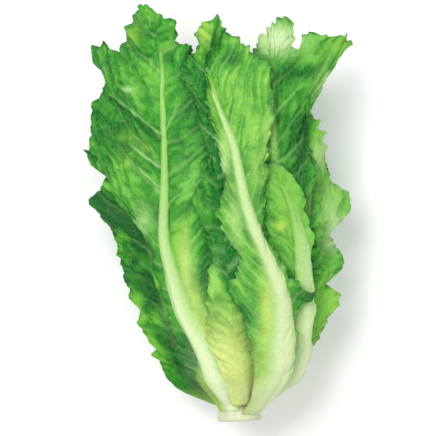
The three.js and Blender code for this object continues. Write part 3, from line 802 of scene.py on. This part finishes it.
def heart_leaf(number):
    """A leaf of the heart; depth 0 is the outermost and 1 the smallest.

    Deeper leaves start further up the core and end sooner. Each stands a golden angle round from
    the last, and its outline is notched a little by a sine of its own.
    """
    depth = number / (HEART_LEAVES - 1)
    foot, tip = 24 + 30 * depth, 258 - 68 * depth**1.15
    middle = (number * GOLDEN_ANGLE + 20) % 360 - 180
    spread = 54 + 20 * depth
    last = len(HEART_OUTLINE) - 1
    margins = []
    for side in (-1, 1):
        notches = [0.07 * np.sin(2.4 * i + number + side) * (2 < i < last) for i in range(last + 1)]
        margins.append([(foot + (tip - foot) * share, middle + side * spread * (width + notch))
                        for (share, width), notch in zip(HEART_OUTLINE, notches)])
    rib = [(foot + (tip - foot) * share, middle) for share in (0, 0.5, 0.93)]
    return {
        "name": f"leaf_heart_{number + 1}", "level": 0.7 - 0.62 * depth**0.85,
        "rib_size": 0.62 - 0.28 * depth, "rows": 12, "steps": 1,
        "rib": rib, "left": margins[0], "right": margins[1],
    }


pale_heart = leaf_tissue(
    "pale_heart_leaf", deep=(0.40, 0.60, 0.09), green=(0.60, 0.78, 0.18), light=(0.80, 0.88, 0.38),
    rib=(0.76, 0.84, 0.46), cream=(0.86, 0.87, 0.64), gold=(0.82, 0.84, 0.34))
green_heart = leaf_tissue(
    "green_heart_leaf", deep=(0.10, 0.38, 0.03), green=(0.26, 0.58, 0.08), light=(0.48, 0.74, 0.16),
    rib=(0.56, 0.76, 0.32), cream=(0.80, 0.84, 0.58), gold=(0.56, 0.72, 0.16))
for number in range(HEART_LEAVES - 1, -1, -1):
    is_green = number < GREEN_HEART_LEAVES
    leaf_piece(heart_leaf(number), green_heart if is_green else pale_heart,
               "heart_leaf_green" if is_green else "heart_leaf_pale", rows=96, rib_columns=3,
               blade_columns=10, seed=300 + 20 * number, shade=0, climb=(0.3, 0.7))

# ---------------------------------------------------------------------------------------------
# Inner and left underside leaves. Two of the three broad leaves that the head lies on, of the mid
# green tissue that most of the leaves share. They grow from the lower side of the core.

mid_leaf = leaf_tissue(
    "mid_green_leaf", deep=(0.003, 0.11, 0.014), green=(0.03, 0.235, 0.019),
    light=(0.135, 0.43, 0.05), rib=(0.25, 0.50, 0.13), cream=(0.70, 0.77, 0.52),
    gold=(0.42, 0.58, 0.07))
back_inner = {
    "name": "leaf_back_inner", "level": 0.76, "rib_size": 0.8, "rows": 14, "steps": 2,
    "rib": [(18, 182), (60, 180), (120, 178), (200, 176), (236, 175)],
    "left": [(18, 150), (40, 136), (80, 128), (120, 124), (160, 122), (200, 126), (225, 138),
        (242, 158), (249, 175)],
    "right": [(18, 214), (40, 226), (80, 232), (120, 236), (160, 238), (200, 232), (225, 220),
        (242, 198), (249, 175)],
}
leaf_piece(back_inner, mid_leaf, "mid_green_leaf", rows=140, blade_columns=16, seed=40)
back_left = {
    "name": "leaf_back_left", "level": 0.84, "rib_size": 0.9, "rows": 18, "steps": 2,
    "rib": [(13, -135), (60, -136), (120, -137), (200, -136), (246, -134)],
    "left": [(13, -168), (25, -180), (50, -186), (80, -190), (120, -192), (160, -192), (200, -190),
        (225, -186), (243, -172), (253, -156), (259, -134)],
    "right": [(13, -103), (22, -92), (45, -80), (80, -74), (120, -70), (150, -68), (180, -72),
        (205, -70), (225, -80), (243, -92), (253, -112), (259, -134)],
}
leaf_piece(back_left, mid_leaf, "mid_green_leaf", rows=220, blade_columns=26, seed=60)

# ---------------------------------------------------------------------------------------------
# Right leaf. A mid green leaf low on the right, of which mostly the frilled margin shows. It grows
# from the right of the core, and its middle lies in the shade of the leaves in front.

right_leaf = {
    "name": "leaf_right", "level": 0.84, "rib_size": 0.8, "rows": 20, "steps": 3,
    "rib": [(14, 62), (30, 60), (60, 58), (100, 57), (140, 56), (170, 56), (200, 55)],
    "left": [(14, 36), (40, 36), (80, 34), (120, 36), (160, 40), (190, 42), (206, 46), (216, 53)],
    "right": [(14, 88), (22, 84), (30, 82), (43, 82), (57, 82), (75, 80), (92, 80), (101, 80),
        (110, 80), (118, 80), (130, 80), (144, 80), (154, 80), (162, 80), (169, 80), (180, 77),
        (190, 74), (198, 67), (210, 62), (216, 53)],
}
leaf_piece(right_leaf, mid_leaf, "mid_green_leaf", seed=80, tone=0.65, vein_paint=0.3,
           frill=1.8, rib_paint=0.3, rib_rise=0.5,
           lobes=[(157, 80, 0, -1, 6, 12), (193, 72, -5, -6, 7, 9), (135, 80, 0, -8, 6, 9),
                  (119, 80, 0, -5, 6, 9), (46, 82, -3, -3, 7, 9)],
           spots=[(50, 193, 3, 22, -1.5, 0, 0), (59, 196, 5, 16, 0.8, 0.1, 0),
                  (52, 127, 4, 36, -1.6, 0, 0), (62, 206, 5, 11, 0.8, 0.2, 0),
                  (68, 155, 8, 14, 1, 0.2, 0.1), (78, 171, 3, 7, 0.3, 0, 0.5),
                  (74, 138, 3, 4, 0.3, 0, 0.4), (69, 127, 6, 9, 0.9, 0.1, 0.35),
                  (59, 187, 5, 9, 0.9, 0.1, 0.3), (68, 142, 6, 8, 0.5, 0.1, 0.2),
                  (67, 74, 5, 20, 0.3, 0.35, 0)])

# ---------------------------------------------------------------------------------------------
# Right underside leaf. Broad and mid green, the third leaf that the head lies on, grown from the
# lower right of the core. Its upper margin is drawn in where it would show past the leaf above.

back_right = {
    "name": "leaf_back_right", "level": 0.92, "rib_size": 1, "rows": 18, "steps": 3,
    "rib": [(11, 140), (30, 138), (60, 140), (100, 142), (150, 144), (200, 144), (247, 143)],
    "left": [(11, 106), (22, 98), (40, 92), (70, 90), (100, 88), (130, 88), (155, 88), (175, 90),
        (200, 88), (225, 94), (243, 106), (254, 122), (261, 143)],
    "right": [(11, 174), (25, 185), (50, 192), (80, 196), (110, 198), (140, 200), (170, 200),
        (200, 198), (225, 198), (243, 186), (256, 168), (261, 143)],
}
leaf_piece(back_right, mid_leaf, "mid_green_leaf", rows=220, blade_columns=28, seed=100,
           lobes=[(26, 97, 8, 0, 12, 12), (131, 88, -6, -4, 9, 10), (50, 91, -3, -3, 8, 9)])

# ---------------------------------------------------------------------------------------------
# Top right leaf. Tall and mid green, grown from the upper right of the core behind the others. Its
# margin folds into a nearly white lobe at the top and reaches out to the right in a long arm.

top_right = {
    "name": "leaf_top_right", "level": 0.87, "rib_size": 0.8, "rows": 26, "steps": 3,
    "rib": [(18, 36), (50, 32), (85, 32), (120, 32), (155, 32), (183, 31), (218, 30), (240, 32),
        (256, 35)],
    "left": [(18, 6), (50, 5), (85, 11), (120, 14), (155, 16), (190, 18), (225, 18), (245, 17),
        (256, 19), (264, 23), (269, 30), (277, 33), (282, 40)],
    "right": [(18, 66), (50, 65), (85, 65), (120, 59), (155, 54), (180, 53), (206, 51), (218, 50),
        (227, 54), (239, 63), (251, 71), (260, 76), (268, 79), (271, 70), (270, 61), (275, 57),
        (271, 53), (263, 49), (264, 45), (272, 46), (280, 45), (282, 40)],
}
leaf_piece(top_right, mid_leaf, "mid_green_leaf", rows=380, blade_columns=34, seed=120,
           rib_paint=0.3, rib_rise=0.5, tone=0.25, ruffle=3.2, frill=1.7,
           lobes=[(267, 27, 6, 2, 8, 12), (268, 79, -4, 1, 4, 9), (276, 57, 2, 0, 4, 9),
                  (260, 76, 0, 3, 3, 8), (279, 46, 5, 0, 5, 9), (253, 72, 0, -3, 3, 8),
                  (244, 66, 0, 3, 3, 8), (236, 61, 0, -3, 4, 8), (269, 65, -4, 0, 3, 8)],
           spots=[(30, 267, 14, 9, 1, 0.2, 0.65), (44, 244, 14, 6, -1.3, 0, 0),
                  (47, 191, 5, 21, -4.5, 0, 0), (64, 234, 4, 12, 1, 0.2, 0.2),
                  (58, 234, 4, 9, 0.6, 0.1, 0.1), (36, 195, 6, 16, -0.9, 0, 0),
                  (28, 200, 2.4, 18, 0.6, 0.1, 0.08), (74, 262, 8, 6, 0.6, 0.2, 0)])

# ---------------------------------------------------------------------------------------------
# Far left leaf. The outermost on the left, dark green and strongly crinkled, grown from the left
# of the core. One small lobe of its margin stands out from the head.

dark_leaf = leaf_tissue(
    "dark_green_leaf", deep=(0.003, 0.085, 0.014), green=(0.02, 0.20, 0.013),
    light=(0.13, 0.42, 0.035), rib=(0.20, 0.42, 0.09), cream=(0.60, 0.70, 0.38),
    gold=(0.24, 0.48, 0.05))
far_left = {
    "name": "leaf_far_left", "level": 0.86, "rib_size": 0.8, "rows": 22, "steps": 3,
    "rib": [(12, -58), (30, -60), (60, -60), (100, -60), (140, -60), (184, -61)],
    "left": [(12, -88), (21, -84), (33, -82), (50, -82), (68, -82), (89, -81), (100, -81),
        (111, -80), (122, -80), (134, -80), (144, -80), (153, -80), (162, -79), (170, -75),
        (176, -80), (188, -82), (189, -75), (193, -68), (197, -61)],
    "right": [(12, -30), (40, -34), (80, -36), (120, -36), (160, -42), (185, -50), (197, -61)],
}
leaf_piece(far_left, dark_leaf, "dark_green_leaf", rows=260, seed=140, frill=1.3,
           rib_paint=0.1, rib_rise=0.5, tone=0.3, mottle=1.5, blister=2.6, vein_height=0.5,
           vein_paint=0.4, gold_reach=12,
           lobes=[(92, -81, 0, -3, 12, 9), (120, -80, 0, -2, 8, 9)],
           spots=[(-64, 64, 5, 20, 0.6, 0.1, 0), (-85, 160, 6, 8, -0.6, 0, 0),
                  (-73, 121, 6, 14, 1.3, 0, 0), (-56, 80, 4, 8, -1, 0, 0),
                  (-53, 42, 5, 14, 0.8, 0.1, 0), (-35, 20, 8, 6, 0.5, 0, 0)],
           creases=[(-98, 166, -78, 148, 4, -1.5, -1.6, 0), (-78, 148, -60, 126, 6, -1, -1.4, 0),
                    (-62, 108, -52, 84, 4, -1.5, -1.6, 0), (-54, 70, -34, 38, 4, -1.5, -1.8, 0),
                    (-66, 96, -58, 72, 2, 1, 0.8, 0), (-57, 106, -38, 54, 3.5, -1, -1.8, 0),
                    (-44, 60, -13, 13, 3.5, -1, -2.6, 0)])

# ---------------------------------------------------------------------------------------------
# Left leaf. The largest, mid green, grown from the upper left of the core, with a pale rib,
# slanting side veins and three lobes at the top. It is folded along some of its side veins, and
# golden beside the foot of its rib.

left_leaf = {
    "name": "leaf_left", "level": 0.92, "rib_size": 0.74, "rows": 28, "steps": 3,
    "rib": [(8, -29), (26, -35), (50, -37), (75, -43), (103, -45), (127, -46), (155, -42),
        (183, -39), (211, -38), (229, -38), (246, -37), (272, -38)],
    "left": [(8, -60), (29, -52), (54, -58), (85, -57), (118, -53), (134, -56), (146, -65),
        (158, -72), (170, -75), (183, -76), (196, -76), (208, -76), (222, -76), (236, -76),
        (248, -78), (257, -85), (264, -83), (263, -72), (256, -64), (266, -61), (278, -56),
        (287, -49), (290, -42)],
    "right": [(8, 0), (40, 8), (64, 9), (92, 5), (120, 0), (148, -3), (176, -6), (204, -10),
        (222, -16), (236, -21), (247, -22), (257, -19), (263, -20), (263, -28), (271, -28),
        (281, -29), (288, -35), (290, -42)],
}
leaf_piece(left_leaf, mid_leaf, "mid_green_leaf", rows=340, blade_columns=38, seed=160,
           vein_steps=(11, 23), climb=(0.4, 0.8), frill=1.2, gold_reach=25,
           rib_shift=[(10, 2), (25, 5), (40, 5), (57, 3.5), (75, 1.5), (95, 0)],
           lobes=[(262, -70, 7, 0, 7, 12), (259, -84, 3, 0, 5, 12), (259, -62, -10, 0, 2, 8),
                  (267, -61, -3, 0, 4, 8), (266, -80, -4, 0, 4, 8), (286, -32, -4, 0, 4, 8),
                  (80, -57, -6, -1, 36, 6)],
           spots=[(-84, 210, 10, 13, -1.1, 0, 0), (-73, 201, 12, 8, -0.7, 0, 0),
                  (-50, 270, 8, 6, -0.9, 0, 0), (-42, 254, 3, 5, -1, 0, 0),
                  (-68, 270, 6, 6, 0.5, 0.25, 0), (-69, 198, 8, 5, 1.1, 0.12, 0),
                  (-72, 181, 6, 7, 0.9, 0.12, 0), (-58, 192, 5, 4, 0.9, 0.15, 0),
                  (-25, 75, 5, 24, 0.6, 0.6, 0.15), (-29, 38, 6, 30, -2.2, -1, 0),
                  (-28, 222, 6, 12, -1.6, 0, 0), (-36, 121, 4, 16, 0.7, 0.4, 0),
                  (-59, 142, 6, 10, 0.9, 0.05, 0.2), (-17, 52, 10, 28, 0.5, 0.9, 0.15),
                  (-31, 104, 4, 25, 0.6, 0.6, 0.2), (-18, 110, 4, 28, -1.0, -0.3, 0),
                  (-29, 173, 10, 20, 0.5, 0, 0.03), (-70, 232, 3, 2, 0.8, 0, 0.4)],
           creases=[(-51, 78, -22, 17, 5, -0.5, -2.6, 0), (-58, 128, -49, 80, 4, -0.4, -2.6, 0),
                    (-85, 229, -50, 198, 2.2, -1.2, -1.3, 0), (-86, 232, -49, 201, 1, 0.6, 0.9, 0.12),
                    (-68, 194, -49, 178, 0.8, 0.6, 0.6, 0.3), (-66, 181, -49, 164, 0.8, 0.5, 0.5, 0.2),
                    (-36, 222, -46, 200, 0.9, 0.5, 0.7, 0.12)])

# ---------------------------------------------------------------------------------------------
# Right front leaf. Short and mid green, with a pale green rib that bends in towards the stem. It
# grows from the right of the core and comes out from under the front leaf.

right_front = {
    "name": "leaf_right_front", "level": 0.94, "rib_size": 0.66, "rows": 22, "steps": 3,
    "rib": [(10, 56), (16, 57), (24, 60), (36, 60), (50, 57), (68, 52), (85, 50), (103, 48),
        (120, 46), (138, 43), (155, 39), (168, 34)],
    "left": [(10, 28), (36, 28), (64, 24), (85, 20), (106, 17), (127, 16), (145, 15), (162, 16),
        (174, 19), (180, 24), (181, 30)],
    "right": [(10, 84), (16, 84), (24, 82), (36, 77), (50, 71), (64, 65), (85, 62), (103, 60),
        (120, 57), (138, 54), (155, 49), (168, 43), (177, 37), (181, 30)],
}
leaf_piece(right_front, mid_leaf, "mid_green_leaf", rows=250, blade_columns=32, seed=180,
           plain_edge=12, cream_reach=120, vein_steps=(8, 14), tone=0.95, rib_wide=[(0, 1.4)],
           rib_shift=[(20, 0), (45, 3), (110, 3.5), (140, 2), (165, 0)],
           lobes=[(112, 58, -8, -1, 46, 7)],
           spots=[(33, 137, 3, 3, 0.6, 0.8, 0), (35, 150, 8, 30, 0.1, 0.2, 0),
                  (39, 98, 5, 12, -0.9, 0, 0)])

# ---------------------------------------------------------------------------------------------
# Centre leaf. Narrow and light green, golden towards its foot, with a folded lobe at the top. It
# grows from the top of the core, and its rib hardly stands out from the blade.

light_leaf = leaf_tissue(
    "light_green_leaf", deep=(0.004, 0.13, 0.015), green=(0.045, 0.27, 0.021),
    light=(0.22, 0.50, 0.062), rib=(0.32, 0.56, 0.18), cream=(0.58, 0.66, 0.41),
    gold=(0.52, 0.61, 0.13))
centre = {
    "name": "leaf_centre", "level": 0.96, "rib_size": 0.7, "rows": 24, "steps": 3,
    "rib": [(12, 14), (50, 2), (85, -2), (120, -4), (155, -6), (190, -7), (225, -8), (253, -5),
        (270, -3)],
    "left": [(12, -12), (32, -14), (57, -20), (92, -18), (120, -14), (134, -16), (148, -22),
        (162, -20), (176, -14), (186, -11), (198, -13), (211, -17), (222, -15), (233, -20),
        (243, -24), (255, -20), (263, -15), (275, -10), (283, -2)],
    "right": [(12, 40), (25, 42), (57, 34), (92, 26), (127, 22), (162, 16), (197, 12), (225, 8),
        (248, 6), (268, 4), (283, -2)],
}
leaf_piece(centre, light_leaf, "light_green_leaf", rows=300, blade_columns=34, seed=200,
           rib_paint=0, vein_paint=0.4, rib_rise=0.25, cream_reach=30, edge=0.8, frill=1.2,
           gold_reach=85,
           lobes=[(261, -16, -4, 0, 5, 12), (274, -10, 2, 0, 6, 12), (62, -20, 5, -1, 30, 12)],
           spots=[(-26, 222, 6, 11, -1.3, 0, 0), (-15, 192, 4, 12, -0.8, 0, 0),
                  (-12, 163, 4, 9, -1.1, 0, 0), (-19, 269, 5, 7, 0.3, 0.3, 0),
                  (-7, 34, 14, 30, 0.6, 0.8, 0.3), (1, 107, 7, 15, -1.8, -0.4, 0),
                  (-11, 103, 3, 14, 0.3, 0, 0.12), (9, 19, 7, 9, 0.3, 0, 0.35)],
           creases=[(-9, 281, -17, 243, 1.5, -1, -1.6, 0)])

# ---------------------------------------------------------------------------------------------
# Front leaf. The nearest, laid over all the others and grown from the upper right of the core: a
# broad cream rib, a light green blade and a finely toothed left margin.

front = {
    "name": "leaf_front", "level": 1, "rib_size": 1, "rows": 28, "steps": 3,
    "rib": [(6, 32), (19, 30), (33, 31), (50, 30), (68, 30), (85, 28), (103, 23), (120, 18),
        (155, 9), (190, 4), (225, -2), (246, -4)],
    "left": [(6, 8), (14, 15), (24, 14), (40, 12), (64, 7), (82, 4), (92, -3), (106, 4), (119, 6),
        (127, -3), (138, -7), (150, -9), (163, -3), (183, -6), (204, -7), (228, -10), (246, -9),
        (259, -5), (272, 1)],
    "right": [(6, 52), (14, 48), (24, 46), (36, 50), (48, 51), (68, 47), (81, 44), (88, 52),
        (93, 56), (98, 44), (107, 35), (119, 29), (131, 22), (145, 20), (162, 22), (178, 22),
        (200, 25), (220, 27), (239, 26), (254, 22), (266, 13), (272, 1)],
}
leaf_piece(front, light_leaf, "light_green_leaf", rows=320, blade_columns=36, seed=220,
           quilt=0.7, blister=1.0, climb=(0.1, 1.8), vein_steps=(7, 16), vein_paint=0.7,
           plain_edge=12, frill=1.5, edge=1.8, cream_reach=250, rib_crisp=1.4, rib_stop=9,
           rib_fade=10,
           rib_wide=[(100, 1), (125, 1.1), (150, 1.1), (175, 1.15), (200, 1.1), (222, 0.75)],
           rib_shift=[(10, 2), (33, 3), (60, 2.5), (85, 3.5), (110, 3), (135, 0), (195, 0),
                      (236, -5)],
           lobes=[(52, 50, -11, -1, 32, 7)],
           spots=[(1, 253, 6, 8, -1, 0, 0), (9, 243, 14, 16, -0.6, 0, 0),
                  (16, 175, 6, 18, 0.8, 0.1, 0.05), (-5, 184, 5, 15, 1.2, 0.1, 0.3),
                  (2.5, 145, 5, 18, 0.8, 0.1, 0.2), (24, 200, 3.5, 20, 0.9, 0.1, 0.1),
                  (-6, 150, 6, 22, 0.5, 0, 0), (4, 118, 7, 20, 0.6, 0, 0.05),
                  (24, 76, 5, 24, 0.6, 0.7, 0), (11, 85, 8, 25, -0.1, 0, 0),
                  (48, 90, 8, 6, -1.8, 0, 0), (17, 56, 5, 24, 0.4, 0, 0.06),
                  (18, 20, 9, 9, 0.8, 0, 0.6)])

# ---------------------------------------------------------------------------------------------
# Setting. A plain pale floor, a broad soft light from the upper left and a weaker one opposite,
# and the camera straight above the head. It sees FRAME_WIDTH across at FRAME_HEIGHT.

FRAME_MIDDLE = (-0.0096, 0.0248)
FRAME_WIDTH = 0.3052
FRAME_HEIGHT = 0.08
CAMERA_RISE = 3.0
SENSOR = 36.0
FLOOR_HALF = 4
HEAD_MIDDLE = (0, 0.02, 0.06)

floor_mesh = bpy.data.meshes.new("floor")
floor_corners = [(x * FLOOR_HALF, y * FLOOR_HALF, 0) for x, y in ((-1, -1), (1, -1), (1, 1), (-1, 1))]
floor_mesh.from_pydata(floor_corners, [], [(0, 1, 2, 3)])
floor = bpy.data.objects.new("floor", floor_mesh)
bpy.context.collection.objects.link(floor)
paper = bpy.data.materials.new("pale_floor")
paper.use_nodes = True
set_inputs(paper.node_tree.nodes["Principled BSDF"], Base_Color=(0.93, 0.93, 0.93, 1), Roughness=0.9)
floor_mesh.materials.append(paper)


def soft_lamp(name, place, size, watts):
    """A square soft light aimed at the middle of the head."""
    lamp = bpy.data.lights.new(name, "AREA")
    lamp.energy, lamp.size = watts, size
    light = bpy.data.objects.new(name, lamp)
    light.location = place
    aim = Vector(HEAD_MIDDLE) - Vector(place)
    light.rotation_euler = aim.to_track_quat("-Z", "Y").to_euler()
    bpy.context.collection.objects.link(light)


soft_lamp("key_light", place=(-0.5, 0.5, 1.7), size=0.8, watts=24)
soft_lamp("fill_light", place=(0.9, -0.4, 1.7), size=1.8, watts=12)
world = bpy.data.worlds.new("studio")
world.use_nodes = True
set_inputs(world.node_tree.nodes["Background"], Color=(1, 1, 1, 1), Strength=0.62)
bpy.context.scene.world = world
bpy.context.scene.view_settings.view_transform = "Standard"

camera_lens = bpy.data.cameras.new("camera")
camera_lens.sensor_width = SENSOR
camera_lens.lens = SENSOR * CAMERA_RISE / FRAME_WIDTH
camera = bpy.data.objects.new("camera", camera_lens)
camera.location = (*FRAME_MIDDLE, FRAME_HEIGHT + CAMERA_RISE)
bpy.context.collection.objects.link(camera)
bpy.context.scene.camera = camera
